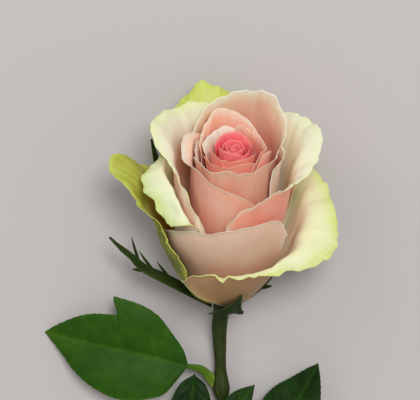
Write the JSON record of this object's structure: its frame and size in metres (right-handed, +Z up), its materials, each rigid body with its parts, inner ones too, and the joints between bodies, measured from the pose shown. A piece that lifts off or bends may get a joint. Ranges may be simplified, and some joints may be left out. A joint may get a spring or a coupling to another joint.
{
  "type": "cut rose",
  "caption": "Cut garden rose with a half-open bloom, reflexed outer petals, bent-back sepals, serrated leaves and a slant-cut prickly stem, lying on its side.",
  "frame": {"origin": "Middle of the footprint, on the surface that the rose lies on.", "axes": "+Z is up, +Y runs along the stem towards the bloom, +X is to the right seen from above with the bloom at the top."},
  "size_m": [0.1172, 0.3058, 0.0579],
  "materials": {
    "petal_pink": "soft satin petal",
    "petal_blush": "soft satin petal",
    "petal_cream": "soft satin petal",
    "petal_lime": "soft satin petal",
    "leaf_green": "semi-gloss leaf with fine veins",
    "stem_green": "satin stem skin"
  },
  "bodies": {
    "root": {"core_petal_1": "petal_pink", "core_petal_2": "petal_pink", "core_petal_3": "petal_pink", "core_petal_4": "petal_pink", "core_petal_5": "petal_pink", "core_petal_6": "petal_pink", "core_petal_7": "petal_pink", "back_inner_petal": "petal_pink", "front_inner_petal": "petal_pink", "left_inner_petal": "petal_pink", "front_fold_petal": "petal_pink", "right_inner_petal": "petal_pink", "tent_petal": "petal_blush", "right_nest_petal": "petal_blush", "left_notch_petal": "petal_blush", "front_cup_petal": "petal_blush", "left_fold_petal": "petal_blush", "back_cup_petal": "petal_blush", "right_wrap_petal": "petal_blush", "left_wrap_petal": "petal_blush", "back_wrap_petal": "petal_blush", "front_apron_petal": "petal_blush", "left_cape_petal": "petal_cream", "back_right_petal": "petal_cream", "back_left_petal": "petal_cream", "right_skirt_petal": "petal_lime", "left_guard_petal": "petal_lime", "right_guard_petal": "petal_lime", "back_guard_petal": "petal_lime", "sepal_1": "leaf_green", "sepal_2": "leaf_green", "sepal_3": "leaf_green", "sepal_4": "leaf_green", "sepal_5": "leaf_green", "stem": "stem_green", "leaf_a_lateral": "leaf_green", "leaf_b_terminal": "leaf_green", "leaf_b_lateral_1": "leaf_green", "leaf_b_lateral_2": "leaf_green", "leaf_c_terminal": "leaf_green", "leaf_c_lateral_1": "leaf_green", "leaf_c_lateral_2": "leaf_green", "leaf_c_lateral_3": "leaf_green", "leaf_c_lateral_4": "leaf_green", "leaf_a_terminal": "leaf_green", "leaf_a_stalk": "stem_green", "leaf_b_stalk": "stem_green", "leaf_c_stalk": "stem_green"}
  },
  "joints": []
}
